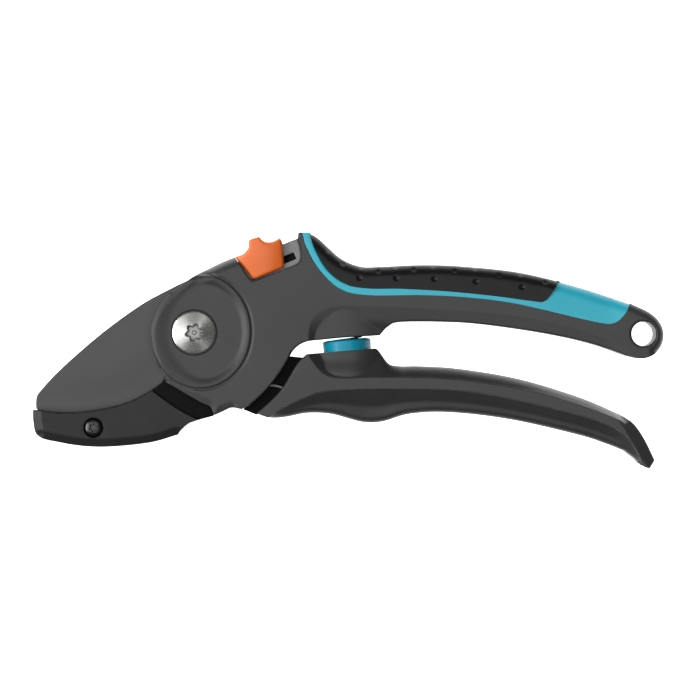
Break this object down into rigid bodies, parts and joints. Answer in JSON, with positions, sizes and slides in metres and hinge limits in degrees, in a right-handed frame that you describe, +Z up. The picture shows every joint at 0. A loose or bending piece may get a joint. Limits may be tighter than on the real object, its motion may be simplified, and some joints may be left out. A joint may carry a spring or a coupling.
{
  "type": "anvil pruner",
  "caption": "Anvil pruner: a coated blade closes on a flat jaw, with ergonomic handles, thumb lock, adjustable opening spring and hanging hole.",
  "frame": {"origin": "centre of the whole tool's bounding box, on the plane that the tool lies on; the pivot axis is at x -52.1 mm, y 6.1 mm, and the middle plane 9.6 mm up", "axes": "+X from the blade tip to the hanging hole, +Y from the lower handle to the upper one, +Z up along the pivot, out of the face with the bolt head"},
  "size_m": [0.2144, 0.0802, 0.0201],
  "materials": {
    "grey_nylon": "fine moulded grain",
    "dark_nylon": "fine moulded grain, a little glossier",
    "black_nylon": "satin moulded",
    "turquoise": "satin moulded",
    "soft_black": "matt soft touch",
    "soft_lining": "matt soft touch",
    "orange": "satin moulded",
    "wheel_turquoise": "satin moulded",
    "coated_blade": "smooth low-friction coating on steel",
    "steel": "turned, polished",
    "dark_steel": "black oxide steel",
    "anvil_alloy": "plain"
  },
  "bodies": {
    "upper_body": {"upper_handle": "grey_nylon", "upper_handle_accent": "turquoise", "upper_handle_grip": "soft_black", "anvil_carrier": "dark_nylon", "anvil_plate": "anvil_alloy", "anvil_screw": "dark_steel", "anvil_nut": "dark_steel", "anvil_pin_1": "steel", "anvil_pin_2": "steel", "pivot_bolt": "steel", "pivot_nut": "steel", "pivot_bush": "steel", "pivot_washer_front": "black_nylon", "pivot_washer_rear": "black_nylon", "lock_detent_spring": "steel"},
    "lower_lever": {"lower_handle": "grey_nylon", "lower_handle_grip": "soft_lining", "lever_insert": "black_nylon", "blade": "coated_blade", "blade_rivet_1": "steel", "blade_rivet_2": "steel", "return_spring": "steel"},
    "lock": {"lock_slider": "orange", "lock_pin": "steel"},
    "wheel": {"adjuster_wheel": "wheel_turquoise"},
    "seat": {"spring_seat": "black_nylon"}
  },
  "joints": [
    {"name": "handle_pivot", "type": "hinge", "parent": "upper_body", "child": "lower_lever", "pos_m": [-0.0521, 0.0061, 0.0096], "axis": [0, 0, -1], "range_deg": [0, 27], "stiffness_Nm_per_rad": 0.8, "springref_deg": 51.57, "deforming": ["return_spring"]},
    {"name": "lock_slide", "type": "slide", "parent": "upper_body", "child": "lock", "axis": [0.9311, 0.3649, 0], "range_m": [0, 0.005]},
    {"name": "wheel_turn", "type": "hinge", "parent": "lower_lever", "child": "wheel", "pos_m": [-0.0002, 0.0001, 0.0096], "axis": [-0.0819, 0.9966, 0], "range_deg": [0, 540]},
    {"name": "seat_slide", "type": "slide", "parent": "lower_lever", "child": "seat", "axis": [-0.0819, 0.9966, 0], "range_m": [0, 0.00224]}
  ],
  "couplings": [
    {"joint": "wheel_turn", "follows": "seat_slide", "rad_per_m": 4188.8}
  ]
}
